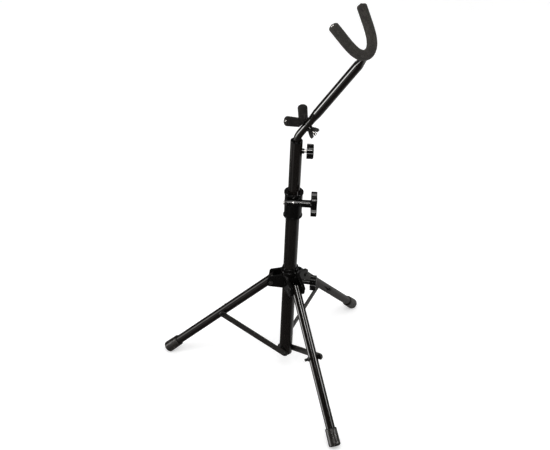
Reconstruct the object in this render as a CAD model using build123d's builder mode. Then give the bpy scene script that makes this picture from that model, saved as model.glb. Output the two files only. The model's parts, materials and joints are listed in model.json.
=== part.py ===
from build123d import *
import os
from math import sin, cos, radians, pi

os.makedirs("parts", exist_ok=True)

# ---------------------------------------------------------------- driving dimensions (mm)
# +Z up, floor at z = 0. The column's axis stands at (CX, CY), which puts the
# origin at the middle of the footprint of the whole stand.
CX, CY = 69.338, 0.0

LEG_AZ = {"left": 180.0, "front": 300.0, "back": 60.0}

# column
COL_R, COL_WALL, COL_Z0, COL_Z1 = 15.0, 1.5, 40.0, 480.0
BRACE_Z = 46.5            # height of the three lower brace pivots

# leg hub
HUB_BORE, HUB_R, HUB_Z0, HUB_Z1 = 15.3, 19.8, 239.5, 283.0
NECK_R, NECK_Z1 = 16.9, 290.5
PIV_R, PIV_Z = 38.9, 252.5
EAR_IN, EAR_OUT = 10.4, 17.5

# legs
LEG_R, LEG_WALL = 10.0, 1.5
LEG_TILT = 45.0
LEG_END_Z = 7.0                                   # height of the foot's axis at its end
LEG_L = (PIV_Z - LEG_END_Z) / sin(radians(45))    # pivot to the end of the foot
CAP_L = 39.0
BRACE_S = 154.0                                   # pivot to brace bolt, along the leg

# braces
BAR_T0, BAR_T1, BAR_R = 15.5, 18.5, 7.2

# clamp collar
COLLAR_Z0, COLLAR_Z1, COLLAR_R, LIP_R = 426.0, 487.0, 19.0, 20.6
CLAMP_AZ = -84.38         # direction of the split
CLAMP_Z, CLAMP_F, CLAMP_BOSS_R = 471.0, 22.0, 7.75

# mast
MAST_R, MAST_WALL, MAST_Z0, MAST_Z1 = 12.7, 1.5, 235.0, 606.0
THUMB_Z, THUMB_AZ = 584.2, 5.62

# arm
ARM_AZ, ARM_LEAN = -21.09, 32.5
ARM_VERTEX_Z = 615.8      # where the leaning axis meets the column's axis
ARM_R0, ARM_R1 = 8.0, 9.5
ARM_BEND = 47.0
ARM_TAIL = 58.0           # length of the upright part below the vertex
YOKE_T = 256.0            # apex of the upper yoke, along the arm
LOWER_T = 38.0            # bolt of the lower yoke, along the arm

# yokes
ROD_R, FOAM_R = 4.0, 10.0
UP_TILT = 20.8
UP_R1, UP_A1, UP_R2, UP_A2, UP_L = 44.85, 60.884, 110.14, 10.916, 39.0
LO_ROD_R, LO_FOAM_R = 3.5, 9.8
LO_APEX, LO_BEND, LO_ANGLE, LO_L = 12.2, 14.0, 38.5, 31.0
LO_TURN = -3.9            # the lower yoke stands slightly turned on its bolt


# ---------------------------------------------------------------- places
def u_of(az):
    return Vector(cos(radians(az)), sin(radians(az)), 0)


def t_of(az):
    return Vector(-sin(radians(az)), cos(radians(az)), 0)


def at(az, r, t, z):
    return Vector(CX, CY, 0) + u_of(az) * r + t_of(az) * t + Vector(0, 0, z)


def side(az, t):
    # upright plane beside the radius at azimuth az: local x is outward, local y is up,
    # and an extrusion of +d runs from t down to t - d
    return Plane(origin=at(az, 0, t, 0), x_dir=u_of(az), z_dir=t_of(az) * -1)


def facing(az, r, z, t=0.0):
    # plane square to the radius at azimuth az, facing outward, local y up
    return Plane(origin=at(az, r, t, z), x_dir=t_of(az), z_dir=u_of(az))


def level(z):
    return Plane(origin=(CX, CY, z), x_dir=(1, 0, 0), z_dir=(0, 0, 1))


DOWN = Vector(0, 0, -1)
TILT_C, TILT_S = cos(radians(LEG_TILT)), sin(radians(LEG_TILT))


def leg_dir(az):
    return u_of(az) * TILT_S + DOWN * TILT_C


def leg_at(az, s):
    # plane square to the leg, s beyond its hub pivot, facing the foot
    return Plane(origin=at(az, PIV_R, 0, PIV_Z) + leg_dir(az) * s, x_dir=t_of(az), z_dir=leg_dir(az))


ARM_U = u_of(ARM_AZ)
ARM_D = ARM_U * sin(radians(ARM_LEAN)) + Vector(0, 0, cos(radians(ARM_LEAN)))
ARM_P = ARM_U * -cos(radians(ARM_LEAN)) + Vector(0, 0, sin(radians(ARM_LEAN)))
ARM_N = ARM_D.cross(ARM_P)
ARM_O = Vector(CX, CY, ARM_VERTEX_Z)
YOKE_D = ARM_P * cos(radians(UP_TILT)) + ARM_D * sin(radians(UP_TILT))


def arm_at(t):
    # plane square to the leaning part of the arm, local x along the yokes' spread
    return Plane(origin=ARM_O + ARM_D * t, x_dir=ARM_N, z_dir=ARM_D)


def finish(piece, label):
    piece.part.label = label
    export_step(piece.part, "parts/" + label + ".step")


# ================================================================ column
with BuildPart() as lower_tube:
    with BuildSketch(level(COL_Z0)):
        Circle(COL_R)
        Circle(COL_R - COL_WALL, mode=Mode.SUBTRACT)
    extrude(amount=COL_Z1 - COL_Z0)
    chamfer(lower_tube.edges().filter_by(GeomType.CIRCLE), length=0.35)
    for az in LEG_AZ.values():
        with BuildSketch(side(az, 20.0)):
            with Locations((0, BRACE_Z)):
                Circle(3.05)
        extrude(amount=18.0, mode=Mode.SUBTRACT)
finish(lower_tube, "lower_tube")

with BuildPart() as end_plug:
    with BuildSketch(level(COL_Z0 + 0.4)):
        Circle(COL_R - COL_WALL - 0.03)
    extrude(amount=24.0)
    with BuildSketch(level(COL_Z0 + 12.4)):
        Circle(9.5)
    extrude(amount=12.0, mode=Mode.SUBTRACT)
    chamfer(end_plug.edges().sort_by(Axis.Z)[0], length=0.8)
    for az in LEG_AZ.values():
        with BuildSketch(side(az, 20.0)):
            with Locations((0, BRACE_Z)):
                Circle(3.03)
        extrude(amount=14.5, mode=Mode.SUBTRACT)
finish(end_plug, "end_plug")

# the three shoulder screws that the braces turn on
with BuildPart() as brace_foot_screws:
    for az in LEG_AZ.values():
        with BuildSketch(side(az, 19.0)):
            with Locations((0, BRACE_Z)):
                Circle(3.0)
        extrude(amount=13.0)
        with BuildSketch(side(az, 20.9)):
            with Locations((0, BRACE_Z)):
                Circle(4.2)
        with BuildSketch(side(az, 18.8)):
            with Locations((0, BRACE_Z)):
                Circle(5.2)
        loft()
        with BuildSketch(side(az, 21.5)):
            with Locations((0, BRACE_Z)):
                RegularPolygon(2.0, 6)
        extrude(amount=1.6, mode=Mode.SUBTRACT)
finish(brace_foot_screws, "brace_foot_screws")

# ================================================================ clamp collar
FRONT, ACROSS = u_of(CLAMP_AZ), t_of(CLAMP_AZ)
with BuildPart() as clamp_collar:
    with BuildSketch(level(COLLAR_Z0)):
        Circle(COLLAR_R)
    extrude(amount=COLLAR_Z1 - COLLAR_Z0)
    with BuildSketch(side(CLAMP_AZ, 13.8)):
        with Locations((CLAMP_F, CLAMP_Z)):
            Circle(CLAMP_BOSS_R)
        with Locations((CLAMP_F - 6.0, CLAMP_Z)):
            Rectangle(12.0, 2 * CLAMP_BOSS_R)
    extrude(amount=27.6)
    with BuildSketch(level(COLLAR_Z0)):
        Circle(LIP_R)
    extrude(amount=4.2)
    with BuildSketch(level(COLLAR_Z1 - 5.2)):
        Circle(LIP_R)
    extrude(amount=5.2)
    fillet(
        clamp_collar.edges().filter_by(GeomType.CIRCLE).filter_by(
            lambda e: abs(e.radius - LIP_R) < 0.01 and abs(e.normal().Z) > 0.9
        ),
        radius=1.2,
    )
    with BuildSketch(level(COLLAR_Z0 - 1)):
        Circle(COL_R + 0.03)
    extrude(amount=COL_Z1 - COLLAR_Z0 + 1.0, mode=Mode.SUBTRACT)
    with BuildSketch(level(COL_Z1 - 1)):
        Circle(MAST_R + 0.3)
    extrude(amount=12.0, mode=Mode.SUBTRACT)
    with BuildSketch(side(CLAMP_AZ, 15.0)):
        with Locations((CLAMP_F, CLAMP_Z)):
            Circle(4.3)
    extrude(amount=30.0, mode=Mode.SUBTRACT)
    # the slit that lets the collar close on the mast
    with BuildSketch(side(CLAMP_AZ, 1.1)):
        with Locations((CLAMP_F + 1.0, (COLLAR_Z0 + COLLAR_Z1) / 2)):
            Rectangle(24.0, COLLAR_Z1 - COLLAR_Z0 + 4.0)
    extrude(amount=2.2, mode=Mode.SUBTRACT)
finish(clamp_collar, "clamp_collar")

with BuildPart() as clamp_nut:
    with BuildSketch(side(CLAMP_AZ, -13.8)):
        with Locations((CLAMP_F, CLAMP_Z)):
            RegularPolygon(7.3, 6)
            Circle(4.05, mode=Mode.SUBTRACT)
    extrude(amount=5.0)
    chamfer(clamp_nut.faces().sort_by(Axis(clamp_nut.part.center(), ACROSS))[0].outer_wire().edges(), length=0.6)
finish(clamp_nut, "clamp_nut")

with BuildPart() as clamp_washer:
    with BuildSketch(side(CLAMP_AZ, 15.3)):
        with Locations((CLAMP_F, CLAMP_Z)):
            Circle(6.8)
            Circle(4.3, mode=Mode.SUBTRACT)
    extrude(amount=1.5)
finish(clamp_washer, "clamp_washer")

with BuildPart() as clamp_bolt:
    with BuildSketch(side(CLAMP_AZ, 38.5)):
        with Locations((CLAMP_F, CLAMP_Z)):
            Circle(4.0)
    extrude(amount=59.5)
    chamfer(clamp_bolt.edges().filter_by(GeomType.CIRCLE), length=0.6)
finish(clamp_bolt, "clamp_bolt")


def lobed(radius, lobes, lobe_r, valley, turn):
    # outline of a star grip: round lobes on a web, with a scallop between each pair
    with BuildSketch(mode=Mode.PRIVATE) as s:
        Circle(valley)
        with PolarLocations(radius - lobe_r, lobes, start_angle=turn):
            Circle(lobe_r)
        with PolarLocations((radius - lobe_r) / 2, lobes, start_angle=turn):
            Rectangle(radius - lobe_r, 2 * lobe_r)
    return s.sketch


# star grip with its moulded stem
with BuildPart() as clamp_knob:
    stem = Plane(origin=at(CLAMP_AZ, CLAMP_F, 15.6, CLAMP_Z), x_dir=(0, 0, 1), z_dir=ACROSS)
    with BuildSketch(stem):
        Circle(8.0)
    extrude(amount=21.5)
    with BuildSketch(stem.offset(21.1)):
        add(lobed(27.2, 4, 7.6, 17.5, 38.4))
    extrude(amount=12.6)
    fillet(clamp_knob.edges().filter_by(lambda e: e.length > 3 and abs((e.center() - stem.origin).dot(ACROSS) - 33.7) < 0.05), radius=1.5)
    fillet(clamp_knob.edges().filter_by(lambda e: e.length > 3 and abs((e.center() - stem.origin).dot(ACROSS) - 21.1) < 0.05 and (e.center() - (stem.origin + ACROSS * 21.1)).length > 9), radius=0.9)
    fillet(clamp_knob.edges().filter_by(GeomType.CIRCLE).filter_by(lambda e: abs(e.radius - 8.0) < 0.01 and abs((e.center() - stem.origin).dot(ACROSS) - 21.1) < 0.05), radius=2.2)
    with BuildSketch(stem.offset(-1)):
        Circle(4.03)
    extrude(amount=24.0, mode=Mode.SUBTRACT)
    with BuildSketch(stem.offset(33.7)):
        Circle(6.0)
    extrude(amount=-1.0, mode=Mode.SUBTRACT)
finish(clamp_knob, "clamp_knob")

# ================================================================ leg hub
def ear(az, t1):
    # one cheek of a leg's fork, its outline edges rounded
    with BuildPart(mode=Mode.PRIVATE) as cheek:
        with BuildSketch(side(az, t1)) as outline:
            with BuildLine():
                Polyline((8.0, 276.5), (46.8, 263.9), (48.6, 250.0), (46.2, 240.5), (8.0, 240.5), close=True)
            make_face()
            fillet(outline.vertices().sort_by(Axis.X)[-2], radius=6.0)
            fillet(outline.vertices().filter_by(lambda v: v.Y < 241 and v.X > 40), radius=4.0)
        extrude(amount=EAR_OUT - EAR_IN)
        faces = cheek.faces().filter_by(lambda f: abs(f.normal_at().dot(t_of(az))) > 0.99)
        fillet(faces.edges(), radius=0.9)
    return cheek.part


with BuildPart() as leg_hub:
    with BuildSketch(level(HUB_Z0)):
        Circle(HUB_R)
    extrude(amount=HUB_Z1 - HUB_Z0)
    fillet(leg_hub.edges().filter_by(GeomType.CIRCLE).sort_by(Axis.Z)[-1], radius=1.4)
    for az in LEG_AZ.values():
        for t1 in (EAR_OUT, -EAR_IN):
            add(ear(az, t1))
        with BuildSketch(side(az, EAR_IN + 1.5)):
            with BuildLine():
                Polyline((12.0, 271.5), (20.6, 271.5), (23.0, 262.0), (23.0, 241.5), (21.0, 239.5), (12.0, 239.5), close=True)
            make_face()
        extrude(amount=2 * EAR_IN + 3.0)
    # guide collar on top
    with BuildSketch(level(HUB_Z1 - 1.0)):
        Circle(NECK_R)
    extrude(amount=NECK_Z1 - HUB_Z1 + 1.0)
    fillet(leg_hub.edges().filter_by(GeomType.CIRCLE).filter_by(lambda e: abs(e.radius - NECK_R) < 0.01 and e.center().Z > NECK_Z1 - 0.1), radius=0.7)
    with BuildSketch(facing(0, 16.0, PIV_Z - 1.5)):
        Circle(6.2)
    extrude(amount=13.0)
    with BuildSketch(level(HUB_Z0 - 1)):
        Circle(HUB_BORE)
    extrude(amount=60.0, mode=Mode.SUBTRACT)
    with BuildSketch(facing(0, 10.0, PIV_Z - 1.5)):
        Circle(3.05)
    extrude(amount=22.0, mode=Mode.SUBTRACT)
    for az in LEG_AZ.values():
        with BuildSketch(side(az, EAR_OUT + 1.1)):
            with Locations((PIV_R, PIV_Z)):
                Circle(3.05)
        extrude(amount=2 * EAR_OUT + 2.2, mode=Mode.SUBTRACT)
finish(leg_hub, "leg_hub")

with BuildPart() as hub_bolts:
    for az in LEG_AZ.values():
        with BuildSketch(side(az, EAR_OUT + 3.3)):
            with Locations((PIV_R, PIV_Z)):
                Circle(3.0)
        extrude(amount=2 * EAR_OUT + 4.2)
        with BuildSketch(side(az, -EAR_OUT)):
            with Locations((PIV_R, PIV_Z)):
                Circle(5.4)
        with BuildSketch(side(az, -EAR_OUT - 2.6)):
            with Locations((PIV_R, PIV_Z)):
                Circle(3.6)
        loft()
finish(hub_bolts, "hub_bolts")

with BuildPart() as hub_nuts:
    for az in LEG_AZ.values():
        with BuildSketch(side(az, EAR_OUT + 2.9)):
            with Locations((PIV_R, PIV_Z)):
                RegularPolygon(5.3, 6)
                Circle(3.03, mode=Mode.SUBTRACT)
        extrude(amount=2.9)
finish(hub_nuts, "hub_nuts")

# hub grip: neck and lobed head in one moulding, with its screw
with BuildPart() as hub_knob:
    with BuildSketch(facing(0, 29.4, PIV_Z - 1.5)):
        Circle(4.9)
    extrude(amount=18.2)
    with BuildSketch(facing(0, 47.3, PIV_Z - 1.5)):
        add(lobed(17.2, 6, 4.6, 13.4, 58.7))
    extrude(amount=13.4)
    fillet(hub_knob.edges().filter_by(lambda e: e.length > 2 and abs(e.center().X - CX - 60.7) < 0.05), radius=1.3)
    fillet(hub_knob.edges().filter_by(lambda e: e.length > 2 and abs(e.center().X - CX - 47.3) < 0.05 and (e.center() - at(0, 47.3, 0, PIV_Z - 1.5)).length > 6), radius=0.8)
    with BuildSketch(facing(0, 29.0, PIV_Z - 1.5)):
        Circle(3.03)
    extrude(amount=24.0, mode=Mode.SUBTRACT)
finish(hub_knob, "hub_knob")

with BuildPart() as hub_screw:
    with BuildSketch(facing(0, 15.35, PIV_Z - 1.5)):
        Circle(3.0)
    extrude(amount=37.0)
    chamfer(hub_screw.edges().filter_by(GeomType.CIRCLE), length=0.5)
finish(hub_screw, "hub_screw")

# ================================================================ legs and braces
for name, az in LEG_AZ.items():
    with BuildPart() as leg_tube:
        with BuildSketch(leg_at(az, -8.0)):
            Circle(LEG_R)
            Circle(LEG_R - LEG_WALL, mode=Mode.SUBTRACT)
        extrude(amount=LEG_L - 6.5 + 8.0)
        with BuildSketch(side(az, 12.0)):
            with Locations((PIV_R, PIV_Z)):
                Circle(3.3)
            with Locations((PIV_R + BRACE_S * TILT_S, PIV_Z - BRACE_S * TILT_C)):
                Circle(3.05)
        extrude(amount=24.0, mode=Mode.SUBTRACT)
    finish(leg_tube, "leg_tube_" + name)

    with BuildPart() as leg_plug:
        with BuildSketch(leg_at(az, -10.2)):
            Circle(LEG_R)
        extrude(amount=2.2)
        fillet(leg_plug.edges().filter_by(GeomType.CIRCLE).sort_by(Axis(leg_at(az, 0).origin, leg_dir(az)))[0], radius=1.5)
        with BuildSketch(leg_at(az, -8.0)):
            Circle(LEG_R - LEG_WALL - 0.05)
        extrude(amount=3.8)
    finish(leg_plug, "leg_plug_" + name)

    # cup-shaped foot; the rim that meets the floor is flat there
    with BuildPart() as rubber_foot:
        with BuildSketch(leg_at(az, LEG_L - CAP_L)):
            Circle(12.7)
        with BuildSketch(leg_at(az, LEG_L)):
            Circle(13.3)
        loft()
        ends = rubber_foot.edges().filter_by(GeomType.CIRCLE).sort_by(Axis(leg_at(az, 0).origin, leg_dir(az)))
        fillet(ends[-1], radius=4.0)
        fillet(rubber_foot.edges().filter_by(GeomType.CIRCLE).sort_by(Axis(leg_at(az, 0).origin, leg_dir(az)))[0], radius=0.8)
        with BuildSketch(leg_at(az, LEG_L - CAP_L - 1)):
            Circle(LEG_R + 0.03)
        extrude(amount=CAP_L + 1 - 6.5, mode=Mode.SUBTRACT)
        split(bisect_by=Plane.XY, keep=Keep.TOP)
    finish(rubber_foot, "rubber_foot_" + name)

    bx, bz = PIV_R + BRACE_S * TILT_S, PIV_Z - BRACE_S * TILT_C
    with BuildPart() as brace_bolt:
        with BuildSketch(side(az, 15.2)):
            with Locations((bx, bz)):
                Circle(3.0)
        extrude(amount=26.0)
        with BuildSketch(side(az, -10.05)):
            with Locations((bx, bz)):
                Circle(5.2)
        with BuildSketch(side(az, -12.9)):
            with Locations((bx, bz)):
                Circle(4.2)
        loft()
        with BuildSketch(side(az, -12.5)):
            with Locations((bx, bz)):
                Circle(3.2)
        extrude(amount=7.0)
    finish(brace_bolt, "brace_bolt_" + name)

    with BuildPart() as brace_spacer:
        with BuildSketch(side(az, 15.2)):
            with Locations((bx, bz)):
                Circle(5.0)
                Circle(3.03, mode=Mode.SUBTRACT)
        extrude(amount=5.1)
    finish(brace_spacer, "brace_spacer_" + name)

    with BuildPart() as brace:
        with BuildSketch(side(az, BAR_T1)):
            with Locations((0, BRACE_Z)):
                Circle(BAR_R)
            with Locations((bx, bz)):
                Circle(BAR_R)
            make_hull()
            with Locations((0, BRACE_Z)):
                Circle(3.3, mode=Mode.SUBTRACT)
            with Locations((bx, bz)):
                Circle(3.05, mode=Mode.SUBTRACT)
        extrude(amount=BAR_T1 - BAR_T0)
        chamfer(
            brace.edges().filter_by(GeomType.LINE).filter_by(lambda e: e.length > 50),
            length=0.5,
        )
    finish(brace, "brace_" + name)

    with BuildPart() as brace_pin:
        with BuildSketch(side(az, BAR_T1 + 0.5)):
            with Locations((bx, bz)):
                Circle(3.0)
        extrude(amount=BAR_T1 - BAR_T0 + 0.4)
        with BuildSketch(side(az, BAR_T1 + 2.3)):
            with Locations((bx, bz)):
                RegularPolygon(5.2, 6)
        extrude(amount=2.3)
        with BuildSketch(side(az, BAR_T1 + 3.2)):
            with Locations((bx, bz)):
                Circle(2.9)
        extrude(amount=1.0)
    finish(brace_pin, "brace_nut_" + name)

# ================================================================ mast
with BuildPart() as mast_tube:
    with BuildSketch(level(MAST_Z0)):
        Circle(MAST_R)
        Circle(MAST_R - MAST_WALL, mode=Mode.SUBTRACT)
    extrude(amount=MAST_Z1 - MAST_Z0)
    with BuildSketch(facing(THUMB_AZ, 5.0, THUMB_Z)):
        Circle(3.3)
    extrude(amount=15.0, mode=Mode.SUBTRACT)
finish(mast_tube, "mast_tube")

with BuildPart() as mast_top_bush:
    with BuildSketch(level(MAST_Z1)):
        Circle(MAST_R)
    extrude(amount=3.2)
    fillet(mast_top_bush.edges().filter_by(GeomType.CIRCLE).sort_by(Axis.Z)[-1], radius=1.5)
    with BuildSketch(level(MAST_Z1)):
        Circle(MAST_R - MAST_WALL - 0.03)
    extrude(amount=-46.0)
    with BuildSketch(level(MAST_Z1 - 50)):
        Circle(ARM_R0 + 0.3)
    extrude(amount=60.0, mode=Mode.SUBTRACT)
    # mouth opened out to clear the arm's bend
    with BuildSketch(level(MAST_Z1 - 4.0)):
        Circle(ARM_R0 + 1.5)
    extrude(amount=10.0, mode=Mode.SUBTRACT)
    with BuildSketch(facing(THUMB_AZ, 5.0, THUMB_Z)):
        Circle(3.3)
    extrude(amount=15.0, mode=Mode.SUBTRACT)
finish(mast_top_bush, "mast_top_bush")

with BuildPart() as mast_guide_bush:
    with BuildSketch(level(MAST_Z0 - 6.0)):
        Circle(COL_R - COL_WALL - 0.3)
    extrude(amount=6.0)
    with BuildSketch(level(MAST_Z0)):
        Circle(MAST_R - MAST_WALL - 0.03)
    extrude(amount=18.0)
    with BuildSketch(level(MAST_Z0 - 8)):
        Circle(9.2)
    extrude(amount=30.0, mode=Mode.SUBTRACT)
    chamfer(mast_guide_bush.edges().filter_by(GeomType.CIRCLE).sort_by(Axis.Z)[:1], length=0.8)
finish(mast_guide_bush, "mast_guide_bush")

with BuildPart() as thumb_nut:
    with BuildSketch(facing(THUMB_AZ, 10.8, THUMB_Z)):
        Circle(5.4)
    extrude(amount=6.4)
    fillet(thumb_nut.edges().filter_by(GeomType.CIRCLE).sort_by(Axis(at(THUMB_AZ, 0, 0, THUMB_Z), u_of(THUMB_AZ)))[-1], radius=1.2)
    with BuildSketch(level(THUMB_Z - 10)):
        Circle(MAST_R)
    extrude(amount=20.0, mode=Mode.SUBTRACT)
    with BuildSketch(facing(THUMB_AZ, 5.0, THUMB_Z)):
        Circle(3.05)
    extrude(amount=20.0, mode=Mode.SUBTRACT)
finish(thumb_nut, "thumb_nut")

with BuildPart() as thumb_screw:
    with BuildSketch(facing(THUMB_AZ, ARM_R0 + 0.1, THUMB_Z)):
        Circle(3.0)
    extrude(amount=20.0)
    chamfer(thumb_screw.edges().filter_by(GeomType.CIRCLE), length=0.5)
finish(thumb_screw, "thumb_screw")

# fluted round grip of the thumb screw
with BuildPart() as thumb_knob:
    with BuildSketch(facing(THUMB_AZ, 21.6, THUMB_Z)):
        Circle(15.6)
    extrude(amount=14.3)
    fillet(thumb_knob.edges().filter_by(GeomType.CIRCLE).sort_by(Axis(at(THUMB_AZ, 0, 0, THUMB_Z), u_of(THUMB_AZ)))[-1], radius=3.0)
    with BuildSketch(facing(THUMB_AZ, 21.0, THUMB_Z)):
        with PolarLocations(16.9, 10, start_angle=19.7):
            Circle(2.8)
    extrude(amount=16.0, mode=Mode.SUBTRACT)
    with BuildSketch(facing(THUMB_AZ, 21.0, THUMB_Z)):
        Circle(3.03)
    extrude(amount=7.3, mode=Mode.SUBTRACT)
    with BuildSketch(facing(THUMB_AZ, 35.9, THUMB_Z)):
        Circle(8.0)
    extrude(amount=-0.8, mode=Mode.SUBTRACT)
finish(thumb_knob, "thumb_knob")

# ================================================================ arm
bend_tan = ARM_BEND * 0.29147
T_BEND = bend_tan
Z_BEND = ARM_VERTEX_Z - bend_tan
ARM_PLANE = Plane(origin=ARM_O, x_dir=ARM_U, z_dir=t_of(ARM_AZ) * -1)


# outline of the arm beyond its bend, as radius against distance along the leaning axis
with BuildPart() as arm_tube:
    with BuildLine(ARM_PLANE) as arm_line:
        l1 = Line((0, -ARM_TAIL), (0, -bend_tan))
        l2 = JernArc(start=(0, -bend_tan), tangent=(0, 1), radius=ARM_BEND, arc_size=-ARM_LEAN)
    with BuildSketch(Plane(origin=ARM_O - Vector(0, 0, ARM_TAIL), x_dir=ARM_U * -1, z_dir=(0, 0, 1))):
        Circle(ARM_R0 - 0.02)
    sweep()
    # leaning length, swaged up from the small tube to the large one
    with BuildSketch(Plane(origin=ARM_O, x_dir=ARM_P, z_dir=ARM_N * -1)) as lean_sk:
        with BuildLine():
            Polyline(
                (0, bend_tan),
                (ARM_R0, bend_tan),
                (ARM_R0, 60.0),
                (ARM_R1, 78.0),
                (ARM_R1, 224.0),
                (0, 224.0),
                close=True,
            )
        make_face()
    revolve(axis=Axis(ARM_O, ARM_D), revolution_arc=360)
    # end pressed flat under the yoke
    with BuildSketch(arm_at(224.0)):
        Circle(ARM_R1)
    with BuildSketch(arm_at(YOKE_T - 12.0)):
        Ellipse(12.0, 5.6)
    loft()
    with BuildSketch(arm_at(YOKE_T - 12.0)):
        Ellipse(12.0, 5.6)
    extrude(amount=10.0)
    # hollow above the swage
    with BuildSketch(arm_at(80.0)):
        Circle(ARM_R1 - 1.5)
    extrude(amount=140.0, mode=Mode.SUBTRACT)
    with BuildSketch(Plane(origin=ARM_O + ARM_D * LOWER_T - ARM_P * 12, x_dir=ARM_N, z_dir=ARM_P)):
        Circle(3.3)
    extrude(amount=24.0, mode=Mode.SUBTRACT)
    # saddle pressed into the end for the yoke's rod
    with BuildSketch(Plane(origin=ARM_O + ARM_D * YOKE_T - ARM_N * 20, x_dir=ARM_P, z_dir=ARM_N)):
        Circle(ROD_R + 0.02)
    extrude(amount=40.0, mode=Mode.SUBTRACT)

finish(arm_tube, "arm_tube")

UP_PLANE = Plane(origin=ARM_O + ARM_D * YOKE_T, x_dir=ARM_N, z_dir=ARM_N.cross(YOKE_D))


with BuildPart() as upper_yoke_rod:
    with BuildLine(UP_PLANE) as up_line:
        ra = JernArc(start=(0, 0), tangent=(1, 0), radius=UP_R1, arc_size=UP_A1)
        rb = JernArc(start=ra @ 1, tangent=ra % 1, radius=UP_R2, arc_size=UP_A2)
        rc = Line(rb @ 1, (rb @ 1) + (rb % 1) * (UP_L + 1.0))
        la = JernArc(start=(0, 0), tangent=(-1, 0), radius=UP_R1, arc_size=-UP_A1)
        lb = JernArc(start=la @ 1, tangent=la % 1, radius=UP_R2, arc_size=-UP_A2)
        lc = Line(lb @ 1, (lb @ 1) + (lb % 1) * (UP_L + 1.0))
    with BuildSketch(Plane(origin=up_line.wires()[0] @ 0, z_dir=up_line.wires()[0] % 0)):
        Circle(ROD_R)
    sweep()
finish(upper_yoke_rod, "upper_yoke_rod")

with BuildPart() as upper_yoke_foam:
    with BuildLine(UP_PLANE) as foam_line:
        fa = JernArc(start=(0, 0), tangent=(1, 0), radius=UP_R1, arc_size=UP_A1)
        fb = JernArc(start=fa @ 1, tangent=fa % 1, radius=UP_R2, arc_size=UP_A2)
        fc = Line(fb @ 1, (fb @ 1) + (fb % 1) * (UP_L + 1.5))
        ga = JernArc(start=(0, 0), tangent=(-1, 0), radius=UP_R1, arc_size=-UP_A1)
        gb = JernArc(start=ga @ 1, tangent=ga % 1, radius=UP_R2, arc_size=-UP_A2)
        gc = Line(gb @ 1, (gb @ 1) + (gb % 1) * (UP_L + 1.5))
    with BuildSketch(Plane(origin=foam_line.wires()[0] @ 0, z_dir=foam_line.wires()[0] % 0)):
        Circle(FOAM_R)
        Circle(ROD_R + 0.1, mode=Mode.SUBTRACT)
    sweep()
    # notch round the arm's flattened end
    with BuildSketch(arm_at(YOKE_T - 20.0)):
        Ellipse(12.6, 6.2)
    extrude(amount=19.0, mode=Mode.SUBTRACT)
finish(upper_yoke_foam, "upper_yoke_foam")

# ================================================================ lower yoke
LO_X = ARM_N * cos(radians(LO_TURN)) + ARM_D * sin(radians(LO_TURN))
LO_PLANE = Plane(origin=ARM_O + ARM_D * LOWER_T + ARM_P * LO_APEX, x_dir=LO_X, z_dir=LO_X.cross(ARM_P))
with BuildPart() as lower_yoke_rod:
    with BuildLine(LO_PLANE) as lo_line:
        pa = JernArc(start=(0, 0), tangent=(1, 0), radius=LO_BEND, arc_size=LO_ANGLE)
        pb = Line(pa @ 1, (pa @ 1) + (pa % 1) * LO_L)
        qa = JernArc(start=(0, 0), tangent=(-1, 0), radius=LO_BEND, arc_size=-LO_ANGLE)
        qb = Line(qa @ 1, (qa @ 1) + (qa % 1) * LO_L)
    with BuildSketch(Plane(origin=lo_line.wires()[0] @ 0, z_dir=lo_line.wires()[0] % 0)):
        Circle(LO_ROD_R)
    sweep()
finish(lower_yoke_rod, "lower_yoke_rod")

with BuildPart() as lower_yoke_foam:
    with BuildLine(LO_PLANE) as lof_line:
        pa = JernArc(start=(0, 0), tangent=(1, 0), radius=LO_BEND, arc_size=LO_ANGLE)
        pb = Line(pa @ 1, (pa @ 1) + (pa % 1) * (LO_L + 0.5))
        qa = JernArc(start=(0, 0), tangent=(-1, 0), radius=LO_BEND, arc_size=-LO_ANGLE)
        qb = Line(qa @ 1, (qa @ 1) + (qa % 1) * (LO_L + 0.5))
    with BuildSketch(Plane(origin=lof_line.wires()[0] @ 0, z_dir=lof_line.wires()[0] % 0)):
        Circle(LO_FOAM_R)
        Circle(LO_ROD_R + 0.1, mode=Mode.SUBTRACT)
    sweep()
    # pressed flat against the arm
    with BuildSketch(Plane(origin=ARM_O + ARM_D * LOWER_T + ARM_P * 8.4, x_dir=ARM_N, z_dir=ARM_P)):
        Rectangle(120, 120)
    extrude(amount=-20.0, mode=Mode.SUBTRACT)
    with BuildSketch(Plane(origin=ARM_O + ARM_D * LOWER_T + ARM_P * 2, x_dir=ARM_N, z_dir=ARM_P)):
        Circle(3.3)
    extrude(amount=9.0, mode=Mode.SUBTRACT)
finish(lower_yoke_foam, "lower_yoke_foam")

# carriage bolt welded to the lower yoke, through the arm
with BuildPart() as yoke_bolt:
    with BuildSketch(Plane(origin=ARM_O + ARM_D * LOWER_T - ARM_P * 26.5, x_dir=ARM_N, z_dir=ARM_P)):
        Circle(3.0)
    extrude(amount=26.5 + LO_APEX - LO_ROD_R + 1.0)
    with BuildSketch(Plane(origin=LO_PLANE.origin - LO_X * 20, x_dir=ARM_P, z_dir=LO_X)):
        Circle(LO_ROD_R + 0.02)
    extrude(amount=40.0, mode=Mode.SUBTRACT)
finish(yoke_bolt, "yoke_bolt")

with BuildPart() as yoke_washer:
    with BuildSketch(Plane(origin=ARM_O + ARM_D * LOWER_T - ARM_P * 9.8, x_dir=ARM_N, z_dir=ARM_P)):
        Circle(7.0)
        Circle(3.3, mode=Mode.SUBTRACT)
    extrude(amount=3.6)
    # saddle face on the arm
    with BuildSketch(arm_at(LOWER_T - 12)):
        Circle(ARM_R0 + 0.02)
    extrude(amount=24.0, mode=Mode.SUBTRACT)
finish(yoke_washer, "yoke_washer")

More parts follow.
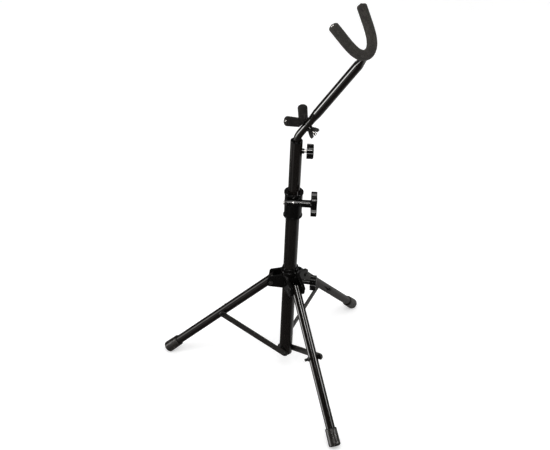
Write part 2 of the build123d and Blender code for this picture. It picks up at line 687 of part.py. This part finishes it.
WING = Plane(origin=ARM_O + ARM_D * LOWER_T - ARM_P * 10.1, x_dir=ARM_N, z_dir=ARM_P * -1)
with BuildPart() as wing_nut:
    with BuildSketch(WING):
        Circle(6.4)
    with BuildSketch(WING.offset(7.5)):
        Circle(5.0)
    loft()
    for k in (1, -1):
        spread = ARM_D * k
        thick = spread.cross(WING.z_dir)
        with BuildSketch(Plane(origin=WING.origin - thick * 2.4, x_dir=spread, z_dir=thick)) as wing_sk:
            with BuildLine():
                Polyline((2.0, 0.3), (6.3, 0.3), (10.6, 5.6), (14.0, 11.5), (12.7, 15.6), (8.4, 15.0), (4.6, 7.6), (2.0, 7.0), close=True)
            make_face()
            fillet(wing_sk.vertices().sort_by(Axis.Y)[-3:], radius=1.7)
        extrude(amount=4.8)
    with BuildSketch(WING.offset(-1)):
        Circle(3.05)
    extrude(amount=20.0, mode=Mode.SUBTRACT)
finish(wing_nut, "wing_nut")
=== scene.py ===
import json
import math
import bpy
import bmesh
from mathutils import Matrix, Vector, noise


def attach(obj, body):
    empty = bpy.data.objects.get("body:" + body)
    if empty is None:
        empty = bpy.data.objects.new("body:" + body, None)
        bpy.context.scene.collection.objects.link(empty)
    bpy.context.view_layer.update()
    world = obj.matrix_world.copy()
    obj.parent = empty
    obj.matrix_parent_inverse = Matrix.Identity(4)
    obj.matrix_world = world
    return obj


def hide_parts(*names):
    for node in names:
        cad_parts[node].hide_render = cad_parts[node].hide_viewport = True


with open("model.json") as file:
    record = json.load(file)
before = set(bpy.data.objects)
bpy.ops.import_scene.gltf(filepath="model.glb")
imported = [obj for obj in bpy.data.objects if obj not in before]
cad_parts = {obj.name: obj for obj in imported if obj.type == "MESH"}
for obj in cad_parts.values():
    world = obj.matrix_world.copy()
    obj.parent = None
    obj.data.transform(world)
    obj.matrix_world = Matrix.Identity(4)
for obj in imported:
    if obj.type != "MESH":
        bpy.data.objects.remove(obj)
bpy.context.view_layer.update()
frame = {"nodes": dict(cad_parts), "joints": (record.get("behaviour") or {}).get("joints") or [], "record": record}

MM = 0.001
record = frame["record"]
nodes = frame["nodes"]
joints = {j["name"]: j for j in frame["joints"]}

# ------------------------------------------------------------------ the stand's own lines, from the record
COL = Vector((joints["arm_swivel"]["pos_m"][0], joints["arm_swivel"]["pos_m"][1], 0.0))
ARM_P = Vector(joints["lower_yoke_swivel"]["axis"]).normalized()      # square to the arm, towards the instrument
LOW_O = Vector(joints["lower_yoke_swivel"]["pos_m"])                  # lower yoke's bolt, on the arm's axis
ARM_U = Vector((-ARM_P.x, -ARM_P.y, 0)).normalized()
LEAN = math.atan2(ARM_P.z, math.hypot(ARM_P.x, ARM_P.y))
ARM_D = ARM_U * math.sin(LEAN) + Vector((0, 0, math.cos(LEAN)))
ARM_N = ARM_D.cross(ARM_P).normalized()
LOW_T, UP_T, UP_TILT = 38.0 * MM, 256.0 * MM, math.radians(20.8)
ARM_O = LOW_O - ARM_D * LOW_T
UP_O = ARM_O + ARM_D * UP_T
UP_D = ARM_P * math.cos(UP_TILT) + ARM_D * math.sin(UP_TILT)
LEGS = {"left": 180.0, "front": 300.0, "back": 60.0}


# ------------------------------------------------------------------ camera
def camera():
    turn = math.radians(5.62)
    th, ps, ro = math.radians(34.34), math.radians(-1.25), math.radians(-2.32)
    dist, high, focal = 1.6901, 1.55297, 951.715
    fw = Vector((math.sin(ps) * math.cos(th), math.cos(ps) * math.cos(th), -math.sin(th)))
    right = Vector((math.cos(ps), -math.sin(ps), 0))
    down = fw.cross(right)
    r2 = right * math.cos(ro) + down * math.sin(ro)
    d2 = down * math.cos(ro) - right * math.sin(ro)
    spin = Matrix.Rotation(turn, 3, "Z")
    fw, r2, d2 = spin @ fw, spin @ r2, spin @ d2
    at = spin @ Vector((0, -dist, high)) + COL
    cam = bpy.data.cameras.new("camera")
    cam.sensor_width = 36.0
    cam.sensor_fit = "HORIZONTAL"
    cam.lens = focal / 550.0 * 36.0
    cam.clip_end = 60.0
    ob = bpy.data.objects.new("camera", cam)
    m = Matrix.Identity(4)
    for i in range(3):
        m[i][0], m[i][1], m[i][2], m[i][3] = r2[i], -d2[i], -fw[i], at[i]
    ob.matrix_world = m
    bpy.context.scene.collection.objects.link(ob)
    bpy.context.scene.camera = ob
    return at, fw, r2


CAM_AT, CAM_FW, CAM_R = camera()


# ------------------------------------------------------------------ materials
class Mat:
    def __init__(self, name):
        self.m = bpy.data.materials.new(name)
        self.m.use_nodes = True
        self.t = self.m.node_tree
        self.t.nodes.clear()
        self.out = self.n("ShaderNodeOutputMaterial")
        self.b = self.n("ShaderNodeBsdfPrincipled")
        self.t.links.new(self.b.outputs["BSDF"], self.out.inputs["Surface"])
        self.co = self.n("ShaderNodeTexCoord").outputs["Object"]

    def n(self, kind, **props):
        node = self.t.nodes.new(kind)
        for k, v in props.items():
            setattr(node, k, v)
        return node

    def link(self, a, b):
        self.t.links.new(a, b)

    def set(self, **values):
        for k, v in values.items():
            self.b.inputs[k.replace("_", " ")].default_value = v
        return self

    def noise(self, scale, detail=3.0, rough=0.55, stretch=None, kind="FBM"):
        co = self.co
        if stretch:
            mp = self.n("ShaderNodeMapping")
            mp.inputs["Scale"].default_value = stretch
            self.link(co, mp.inputs["Vector"])
            co = mp.outputs["Vector"]
        tex = self.n("ShaderNodeTexNoise")
        tex.inputs["Scale"].default_value = scale
        tex.inputs["Detail"].default_value = detail
        tex.inputs["Roughness"].default_value = rough
        self.link(co, tex.inputs["Vector"])
        return tex.outputs["Fac"]

    def voronoi(self, scale, feature="F1"):
        tex = self.n("ShaderNodeTexVoronoi", feature=feature)
        tex.inputs["Scale"].default_value = scale
        self.link(self.co, tex.inputs["Vector"])
        return tex.outputs["Distance"]

    def ramp(self, fac, stops):
        r = self.n("ShaderNodeValToRGB")
        el = r.color_ramp.elements
        while len(el) < len(stops):
            el.new(0.5)
        for e, (p, c) in zip(el, stops):
            e.position = p
            e.color = (*c, 1.0) if len(c) == 3 else c
        self.link(fac, r.inputs["Fac"])
        return r.outputs["Color"]

    def span(self, fac, lo, hi, a, b):
        r = self.n("ShaderNodeMapRange")
        for i, v in enumerate((lo, hi, a, b)):
            r.inputs[1 + i].default_value = v
        self.link(fac, r.inputs["Value"])
        return r.outputs["Result"]

    def mix(self, fac, a, b, how="MIX"):
        r = self.n("ShaderNodeMix", data_type="RGBA", blend_type=how)
        if isinstance(fac, float):
            r.inputs["Factor"].default_value = fac
        else:
            self.link(fac, r.inputs["Factor"])
        for sock, v in ((r.inputs[6], a), (r.inputs[7], b)):
            if isinstance(v, tuple):
                sock.default_value = (*v, 1.0)
            else:
                self.link(v, sock)
        return r.outputs[2]

    def maths(self, op, a, b):
        r = self.n("ShaderNodeMath", operation=op)
        for i, v in enumerate((a, b)):
            if isinstance(v, (int, float)):
                r.inputs[i].default_value = v
            else:
                self.link(v, r.inputs[i])
        return r.outputs[0]

    def bump(self, *layers):
        # layers: (height socket, distance in metres, strength)
        last = None
        for h, d, s in layers:
            bp = self.n("ShaderNodeBump")
            bp.inputs["Distance"].default_value = d
            bp.inputs["Strength"].default_value = s
            self.link(h, bp.inputs["Height"])
            if last is not None:
                self.link(last, bp.inputs["Normal"])
            last = bp.outputs["Normal"]
        self.link(last, self.b.inputs["Normal"])
        return self

    def pointy(self):
        return self.n("ShaderNodeNewGeometry").outputs["Pointiness"]


def gloss_paint(name, tint=(0.0042, 0.0034, 0.0029), rough=(0.055, 0.11), ior=1.5, coat=0.5):
    m = Mat(name)
    m.set(Metallic=0.0, IOR=ior)
    m.set(**{"Coat_Weight": coat, "Coat_Roughness": 0.03, "Coat_IOR": 1.5})
    cloud = m.noise(38.0, 4.0, 0.6)
    fine = m.noise(900.0, 2.0, 0.5)
    col = m.ramp(cloud, [(0.3, tint), (0.72, tuple(c * 1.55 for c in tint))])
    specks = m.ramp(m.noise(2600.0, 1.0, 0.4), [(0.74, (0, 0, 0)), (0.80, (1, 1, 1))])
    m.link(m.mix(m.maths("MULTIPLY", specks, 0.30), col, (0.028, 0.025, 0.022)), m.b.inputs["Base Color"])
    m.link(m.span(m.maths("ADD", cloud, m.maths("MULTIPLY", fine, 0.25)), 0.35, 0.9, *rough), m.b.inputs["Roughness"])
    m.bump((fine, 0.00002, 0.25), (m.noise(170.0, 2.0, 0.5), 0.00006, 0.22))
    return m.m


def satin_paint(name, tint=(0.0135, 0.0118, 0.0104)):
    m = Mat(name)
    m.set(Metallic=0.0, IOR=1.5)
    m.set(**{"Coat_Weight": 0.25, "Coat_Roughness": 0.18})
    cloud = m.noise(60.0, 4.0, 0.6)
    scratch = m.noise(160.0, 3.0, 0.7, stretch=(1.0, 1.0, 7.0))
    m.link(m.ramp(cloud, [(0.3, tint), (0.75, tuple(c * 1.6 for c in tint))]), m.b.inputs["Base Color"])
    m.link(m.span(scratch, 0.3, 0.8, 0.26, 0.46), m.b.inputs["Roughness"])
    m.bump((m.noise(1400.0, 2.0, 0.5), 0.00003, 0.3))
    return m.m


def moulded(name, tint=(0.0018, 0.0017, 0.0016), rough=(0.09, 0.18)):
    m = Mat(name)
    m.set(Metallic=0.0, IOR=1.40)
    cloud = m.noise(45.0, 4.0, 0.6)
    grain = m.voronoi(2400.0)
    scuff = m.ramp(m.noise(620.0, 4.0, 0.75), [(0.60, (0, 0, 0)), (0.74, (1, 1, 1))])
    col = m.ramp(cloud, [(0.3, tint), (0.75, tuple(c * 1.5 for c in tint))])
    m.link(m.mix(m.maths("MULTIPLY", scuff, 0.30), col, (0.014, 0.0135, 0.013)), m.b.inputs["Base Color"])
    m.link(m.span(m.maths("ADD", cloud, m.maths("MULTIPLY", grain, 0.2)), 0.35, 0.85, *rough), m.b.inputs["Roughness"])
    m.bump((grain, 0.00003, 0.3), (m.noise(120.0, 2.0, 0.5), 0.00008, 0.2))
    return m.m


def rubber(name):
    m = Mat(name)
    m.set(Metallic=0.0, IOR=1.5)
    cloud = m.noise(55.0, 5.0, 0.65)
    dust = m.ramp(m.noise(420.0, 4.0, 0.7), [(0.52, (0, 0, 0)), (0.72, (1, 1, 1))])
    col = m.ramp(cloud, [(0.28, (0.0085, 0.0074, 0.0064)), (0.75, (0.0185, 0.0165, 0.0143))])
    m.link(m.mix(m.maths("MULTIPLY", dust, 0.3), col, (0.040, 0.036, 0.032)), m.b.inputs["Base Color"])
    m.link(m.span(cloud, 0.3, 0.75, 0.21, 0.36), m.b.inputs["Roughness"])
    m.bump((m.noise(1500.0, 3.0, 0.6), 0.00005, 0.45), (m.noise(200.0, 2.0, 0.5), 0.0001, 0.25))
    return m.m


def foam(name, painted_shade_scale=1.0):
    m = Mat(name)
    m.set(Metallic=0.0, IOR=1.35)
    m.set(**{"Sheen_Weight": 0.03, "Sheen_Roughness": 0.5})
    m.b.inputs["Sheen Tint"].default_value = (0.75, 0.72, 0.68, 1.0)
    patch = m.noise(70.0, 5.0, 0.62)
    cells = m.voronoi(1500.0)
    pores = m.voronoi(3600.0)
    # the scale below darkens every foam colour; below 1 it is painted shade, not a darker foam
    col = m.ramp(patch, [(p, tuple(c * painted_shade_scale for c in v)) for p, v in ((0.30, (0.021, 0.0192, 0.0172)), (0.52, (0.033, 0.0302, 0.0268)), (0.76, (0.050, 0.0456, 0.0405)))])
    dark = m.ramp(cells, [(0.0, (0.62, 0.62, 0.62)), (0.45, (1.0, 1.0, 1.0))])
    speck = m.ramp(m.noise(430.0, 3.0, 0.7), [(0.34, (0.55, 0.55, 0.55)), (0.50, (0.92, 0.92, 0.92)), (0.66, (1.5, 1.48, 1.44))])
    m.link(m.mix(1.0, m.mix(1.0, col, dark, "MULTIPLY"), speck, "MULTIPLY"), m.b.inputs["Base Color"])
    m.link(m.span(patch, 0.3, 0.75, 0.78, 0.95), m.b.inputs["Roughness"])
    m.bump((pores, 0.00010, 0.55), (cells, 0.00018, 0.5), (m.noise(240.0, 4.0, 0.6), 0.0003, 0.35))
    return m.m


def steel(name, colour=(0.58, 0.57, 0.55), rough=(0.12, 0.26)):
    m = Mat(name)
    m.set(Metallic=1.0)
    cloud = m.noise(300.0, 4.0, 0.6)
    m.link(m.ramp(cloud, [(0.3, tuple(c * 0.82 for c in colour)), (0.7, colour)]), m.b.inputs["Base Color"])
    m.link(m.span(cloud, 0.3, 0.75, *rough), m.b.inputs["Roughness"])
    m.bump((m.noise(2200.0, 2.0, 0.5), 0.00002, 0.3))
    return m.m


def dark_zinc(name):
    m = Mat(name)
    m.set(Metallic=0.65, IOR=1.5)
    cloud = m.noise(260.0, 4.0, 0.6)
    worn = m.ramp(m.pointy(), [(0.51, (0, 0, 0)), (0.60, (1, 1, 1))])
    col = m.ramp(cloud, [(0.3, (0.010, 0.0097, 0.0093)), (0.75, (0.024, 0.0233, 0.022))])
    m.link(m.mix(m.maths("MULTIPLY", worn, 0.35), col, (0.14, 0.136, 0.13)), m.b.inputs["Base Color"])
    m.link(m.span(cloud, 0.3, 0.75, 0.24, 0.42), m.b.inputs["Roughness"])
    m.bump((m.noise(2000.0, 2.0, 0.5), 0.00003, 0.3))
    return m.m


PAINT = gloss_paint("gloss_black_paint")
LEG_PAINT = gloss_paint("gloss_black_leg_paint", ior=1.41, coat=0.0)
BAR = satin_paint("satin_black_paint")
PLASTIC = moulded("moulded_black_plastic")
RUBBER = rubber("foot_rubber")
FOAM = foam("charcoal_foam")
# painted shade: the same charcoal foam with its colours cut to 0.30, standing in for the shade the lower sleeve lies in
FOAM_PAINTED_SHADE = foam("charcoal_foam_painted_shade", 0.30)
STEEL = steel("bright_steel")
ZINC = dark_zinc("blackened_steel")

BY_SLOT = {
    "gloss_black_tube": PAINT,
    "satin_black_bar": BAR,
    "black_plastic": PLASTIC,
    "foot_rubber": RUBBER,
    "grey_foam": FOAM,
    "black_fastener": ZINC,
    "bright_steel": STEEL,
}
for sub in record["subparts"]:
    ob = nodes[sub["node"]]
    mat = LEG_PAINT if sub["node"].startswith("leg_tube") else BY_SLOT[sub["material_slot"]]
    if not ob.material_slots:
        ob.data.materials.append(mat)
    for s in ob.material_slots:
        s.material = mat


# ------------------------------------------------------------------ mesh helpers
def new_object(name, bm, mat, smooth=True):
    me = bpy.data.meshes.new(name)
    bm.normal_update()
    bm.to_mesh(me)
    bm.free()
    if smooth:
        for p in me.polygons:
            p.use_smooth = True
    me.materials.append(mat)
    ob = bpy.data.objects.new(name, me)
    bpy.context.scene.collection.objects.link(ob)
    return ob


def centre_line(segs, straight, o, x, y, step=0.9 * MM):
    """Points and tangents of a yoke, tip to tip: tangent arcs from the apex, then a straight prong."""
    half = []
    px = py = a = 0.0
    for r, deg in segs:
        cx, cy = px - r * math.sin(a), py + r * math.cos(a)
        n = max(4, int(r * math.radians(deg) / step))
        for k in range(n):
            b = a + math.radians(deg) * k / n
            half.append((cx + r * math.sin(b), cy - r * math.cos(b), b))
        a += math.radians(deg)
        px, py = cx + r * math.sin(a), cy - r * math.cos(a)
    n = max(4, int(straight / step))
    for k in range(n + 1):
        s = straight * k / n
        half.append((px + s * math.cos(a), py + s * math.sin(a), a))
    pts = [(-u, v, -b) for u, v, b in reversed(half[1:])] + half
    return [(o + x * u + y * v, (x * math.cos(b) + y * math.sin(b)).normalized()) for u, v, b in pts]


def sleeve(name, line, normal, radius, bore, mat, shape, sides=56, seed=0.0, end_round=3.2 * MM):
    """A foam sleeve round a rod: soft rounded ends that turn in to the bore, and a hand-cut unevenness."""
    bm = bmesh.new()
    rings = []
    total = [0.0]
    for (p, _), (q, _) in zip(line, line[1:]):
        total.append(total[-1] + (q - p).length)
    full = total[-1]

    def ring(p, t, rr, s):
        side = t.cross(normal).normalized()
        out = []
        for k in range(sides):
            a = 2 * math.pi * k / sides
            d = normal * math.cos(a) + side * math.sin(a)
            out.append(bm.verts.new(p + d * rr(a, d, s)))
        return out

    def body(a, d, s):
        p = d * radius * 90 + Vector((seed, s * 55, 0))
        lump = noise.noise(p) * 0.16 * MM + noise.noise(p * 3.1) * 0.05 * MM
        r = shape(a, d, s, full) + lump
        e = min(s, full - s)
        if e < end_round:
            r -= end_round - math.sqrt(max(0.0, end_round ** 2 - (end_round - e) ** 2))
        return r

    # ends: up the bore wall, over the lip, then the body
    p0, t0 = line[0]
    p1, t1 = line[-1]
    lip = 0.9 * MM
    for p, t, sgn, s in ((p0, t0, 1.0, 0.0),):
        rings.append(ring(p + t * 5.0 * MM, t, lambda a, d, s: bore, 0.0))
        rings.append(ring(p + t * 1.2 * MM, t, lambda a, d, s: bore, 0.0))
        rings.append(ring(p + t * 0.25 * MM, t, lambda a, d, s: bore + 0.35 * lip, 0.0))
        rings.append(ring(p - t * 0.0, t, lambda a, d, s: bore + lip, 0.0))
        rings.append(ring(p, t, lambda a, d, s: (bore + lip + radius - end_round) / 2, 0.0))
    ease = [0.0, 0.02, 0.08, 0.18, 0.32, 0.5, 0.72]
    samples = []
    for e in ease:
        samples.append(e * end_round)
    s = end_round
    body_samples = [x for x in total if end_round < x < full - end_round]
    samples = samples + [end_round] + body_samples + [full - end_round] + [full - e * end_round for e in reversed(ease)]

    def place(s):
        lo, hi = 0, len(total) - 1
        while hi - lo > 1:
            mid = (lo + hi) // 2
            if total[mid] <= s:
                lo = mid
            else:
                hi = mid
        f = 0.0 if total[hi] == total[lo] else (s - total[lo]) / (total[hi] - total[lo])
        p = line[lo][0].lerp(line[hi][0], f)
        t = line[lo][1].lerp(line[hi][1], f).normalized()
        return p, t

    for s in samples:
        p, t = place(s)
        rings.append(ring(p, t, body, s))
    rings.append(ring(p1, t1, lambda a, d, s: (bore + lip + radius - end_round) / 2, 0.0))
    rings.append(ring(p1, t1, lambda a, d, s: bore + lip, 0.0))
    rings.append(ring(p1 - t1 * 0.25 * MM, t1, lambda a, d, s: bore + 0.35 * lip, 0.0))
    rings.append(ring(p1 - t1 * 1.2 * MM, t1, lambda a, d, s: bore, 0.0))
    rings.append(ring(p1 - t1 * 5.0 * MM, t1, lambda a, d, s: bore, 0.0))
    # the bore's wall follows the rod back to the first end
    steps = max(8, int((full - 14.0 * MM) / (3.0 * MM)))
    for k in range(steps + 1):
        p, t = place(full - 7.0 * MM - (full - 14.0 * MM) * k / steps)
        rings.append(ring(p, t, lambda a, d, s: bore, 0.0))
    for a, b in zip(rings, rings[1:] + rings[:1]):
        for k in range(sides):
            bm.faces.new((a[k], a[(k + 1) % sides], b[(k + 1) % sides], b[k]))
    bmesh.ops.recalc_face_normals(bm, faces=bm.faces)
    return new_object(name, bm, mat)


# ------------------------------------------------------------------ foam sleeves
def upper_foam():
    segs = [(44.85 * MM, 60.884), (110.14 * MM, 10.916)]
    line = centre_line(segs, 40.4 * MM, UP_O, ARM_N, UP_D)
    plane_n = ARM_N.cross(UP_D).normalized()

    def shape(a, d, s, full):
        mid = (s - full / 2) / MM
        r = 10.0 * MM
        # the inside of the bend is pushed together into a short flat with two soft corners
        inner = max(0.0, d.dot(UP_D))
        flat = max(0.0, 1.0 - (abs(mid) / 6.6) ** 2) * 0.75 - 0.30 * math.exp(-((abs(mid) - 9.0) / 2.6) ** 2)
        r += 0.8 * MM * flat * inner ** 2
        # sits down on the arm's flattened end
        under = max(0.0, -d.dot(ARM_D))
        if abs(mid) < 12.5:
            reach = 4.4 * MM / max(under, 1e-3)
            if under > 0.45:
                r = min(r, reach + (abs(mid) / 12.5) ** 6 * 6 * MM)
        return r

    ob = sleeve("upper_yoke_sleeve", line, plane_n, 10.0 * MM, 4.15 * MM, FOAM, shape, seed=3.0, end_round=4.6 * MM)
    rod_tips("upper_yoke_tips", line, 3.9 * MM, "arm")
    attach(ob, "arm")
    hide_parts("upper_yoke_foam")


def lower_foam():
    apex, bend, angle, turn = 12.2, 14.0, math.radians(38.5), math.radians(-3.9)
    o = ARM_O + ARM_D * LOW_T + ARM_P * apex * MM
    across = (ARM_N * math.cos(turn) + ARM_D * math.sin(turn)).normalized()
    line = centre_line([(bend * MM, math.degrees(angle))], 31.4 * MM, o, across, ARM_P, step=0.7 * MM)
    plane_n = across.cross(ARM_P).normalized()

    def shape(a, d, s, full):
        mid = (s - full / 2) / MM
        r = 9.6 * MM
        far = min(1.0, abs(mid) / 34.0)
        r += 0.45 * MM * far ** 2
        inner = max(0.0, d.dot(ARM_P))
        r -= 0.6 * MM * math.exp(-(mid / 3.0) ** 2) * inner ** 2
        # flattened where it is drawn against the arm
        under = -d.dot(ARM_P)
        low = apex - 8.45 + bend * (1 - math.cos(min(abs(mid) / bend, angle)))
        if abs(mid) > bend * angle:
            low += (abs(mid) - bend * angle) * math.sin(angle)
        if under > 0.2:
            r = min(r, low * MM / under)
        return r

    # the lower sleeve takes the foam with painted shade, its colour darkened for the shade it sits in
    ob = sleeve("lower_yoke_sleeve", line, plane_n, 9.8 * MM, 3.65 * MM, FOAM_PAINTED_SHADE, shape, seed=11.0, end_round=4.2 * MM)
    rod_tips("lower_yoke_tips", line, 3.4 * MM, "lower_yoke")
    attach(ob, "lower_yoke")
    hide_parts("lower_yoke_foam")


def rod_tips(name, line, radius, ride):
    """Domed ends of a yoke's rod, just inside the mouth of the sleeve at each prong."""
    bm = bmesh.new()
    rows, sides = 9, 32
    for (p, t), sgn in ((line[0], -1.0), (line[-1], 1.0)):
        out = t * sgn
        e = out.orthogonal().normalized()
        f = out.cross(e)
        rings = []
        for i in range(rows):
            a = math.radians(8 + 82 * i / (rows - 1))
            rr, hh = radius * math.sin(a), radius * 0.72 * math.cos(a)
            rings.append([bm.verts.new(p + out * (hh - 0.5 * MM) + (e * math.cos(k * math.tau / sides) + f * math.sin(k * math.tau / sides)) * rr) for k in range(sides)])
        rings.append([bm.verts.new(v.co - out * 2.2 * MM) for v in rings[-1]])
        for a, b in zip(rings, rings[1:]):
            for k in range(sides):
                bm.faces.new((a[k], a[(k + 1) % sides], b[(k + 1) % sides], b[k]))
        bm.faces.new(rings[0])
        bm.faces.new(rings[-1])
    bmesh.ops.recalc_face_normals(bm, faces=bm.faces)
    ob = new_object(name, bm, STEEL)
    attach(ob, ride)
    return ob


upper_foam()
lower_foam()


# ------------------------------------------------------------------ stage and light
def stage():
    bm = bmesh.new()
    n, size = 8, 14.0
    grid = [[bm.verts.new((COL.x + (i / n - 0.5) * size, COL.y + (j / n - 0.5) * size, 0.0)) for j in range(n + 1)] for i in range(n + 1)]
    for i in range(n):
        for j in range(n):
            bm.faces.new((grid[i][j], grid[i + 1][j], grid[i + 1][j + 1], grid[i][j + 1]))
    m = Mat("pale_floor")
    cloud = m.noise(3.0, 2.0, 0.5)
    m.link(m.ramp(cloud, [(0.3, (0.86, 0.86, 0.86)), (0.7, (0.90, 0.90, 0.90))]), m.b.inputs["Base Color"])
    m.set(Roughness=0.9)
    m.b.inputs["Emission Color"].default_value = (1, 1, 1, 1)
    m.b.inputs["Emission Strength"].default_value = 0.34
    floor = new_object("floor", bm, m.m)
    floor.visible_glossy = False


stage()


def area(name, loc, look, size, power, colour=(1, 1, 1)):
    li = bpy.data.lights.new(name, "AREA")
    li.shape = "RECTANGLE"
    li.size, li.size_y = size
    li.energy = power
    li.color = colour
    ob = bpy.data.objects.new(name, li)
    ob.location = loc
    ob.rotation_euler = (Vector(look) - Vector(loc)).to_track_quat("-Z", "Y").to_euler()
    bpy.context.scene.collection.objects.link(ob)
    return ob


MID = Vector((COL.x, COL.y, 0.45))
for ob in (
    area("soft_left", (-1.9, -1.1, 1.5), MID, (1.0, 1.6), 16),
    area("soft_top", (0.3, -0.9, 2.6), MID, (1.4, 1.4), 16),
):
    ob.visible_glossy = False


# the room: even white for everything soft, and a few softboxes that only polished surfaces see
def studio():
    world = bpy.data.worlds.new("studio")
    bpy.context.scene.world = world
    world.use_nodes = True
    wt = world.node_tree
    wt.nodes.clear()
    way = wt.nodes.new("ShaderNodeTexCoord").outputs["Generated"]

    def box(d, inner, outer, level):
        dot = wt.nodes.new("ShaderNodeVectorMath")
        dot.operation = "DOT_PRODUCT"
        wt.links.new(way, dot.inputs[0])
        dot.inputs[1].default_value = Vector(d).normalized()
        edge = wt.nodes.new("ShaderNodeMapRange")
        edge.interpolation_type = "SMOOTHSTEP"
        edge.inputs[1].default_value = math.cos(math.radians(outer))
        edge.inputs[2].default_value = math.cos(math.radians(inner))
        edge.inputs[3].default_value = 0.0
        edge.inputs[4].default_value = level
        wt.links.new(dot.outputs["Value"], edge.inputs[0])
        return edge.outputs[0]

    total = None
    for args in SOFTBOXES:
        v = box(*args)
        if total is None:
            total = v
            continue
        add = wt.nodes.new("ShaderNodeMath")
        wt.links.new(total, add.inputs[0])
        wt.links.new(v, add.inputs[1])
        total = add.outputs[0]
    lift = wt.nodes.new("ShaderNodeMath")
    wt.links.new(total, lift.inputs[0])
    lift.inputs[1].default_value = ROOM_DARK
    seen = wt.nodes.new("ShaderNodeBackground")
    seen.inputs["Color"].default_value = (1.0, 0.985, 0.97, 1)
    wt.links.new(lift.outputs[0], seen.inputs["Strength"])
    white = wt.nodes.new("ShaderNodeBackground")
    white.inputs["Color"].default_value = (1, 1, 1, 1)
    white.inputs["Strength"].default_value = ROOM_WHITE
    plain = wt.nodes.new("ShaderNodeBackground")
    plain.inputs["Color"].default_value = (1, 1, 1, 1)
    plain.inputs["Strength"].default_value = 1.0
    path = wt.nodes.new("ShaderNodeLightPath")
    pick = wt.nodes.new("ShaderNodeMixShader")
    wt.links.new(path.outputs["Is Glossy Ray"], pick.inputs["Fac"])
    wt.links.new(white.outputs[0], pick.inputs[1])
    wt.links.new(seen.outputs[0], pick.inputs[2])
    last = wt.nodes.new("ShaderNodeMixShader")
    wt.links.new(path.outputs["Is Camera Ray"], last.inputs["Fac"])
    wt.links.new(pick.outputs[0], last.inputs[1])
    wt.links.new(plain.outputs[0], last.inputs[2])
    out = wt.nodes.new("ShaderNodeOutputWorld")
    wt.links.new(last.outputs[0], out.inputs["Surface"])
    if hasattr(world, "cycles"):
        world.cycles.sampling_method = "NONE"


ROOM_WHITE, ROOM_DARK = 0.70, 0.045
SOFTBOXES = [
    # direction, full out to (deg), gone by (deg), level
    ((-0.94, -0.27, -0.20), 6, 11.5, 10.5),
    ((-0.96, -0.22, 0.16), 5, 12, 5.0),
    ((0.10, -0.67, 0.735), 2.5, 5.5, 34.0),
    ((0.84, -0.12, 0.53), 3, 6, 30.0),
    ((0.0, -0.22, 0.98), 12, 22, 5.0),
    ((-0.92, -0.04, -0.40), 3, 9, 1.5),
    ((-0.66, -0.70, -0.22), 6, 26, 0.42),
    ((0.66, 0.42, -0.60), 12, 42, 0.26),
    ((0.0, 0.92, -0.38), 20, 70, 0.14),
]
studio()

scene = bpy.context.scene
scene.view_settings.view_transform = "Standard"
scene.view_settings.look = "None"
scene.view_settings.exposure = 0.0
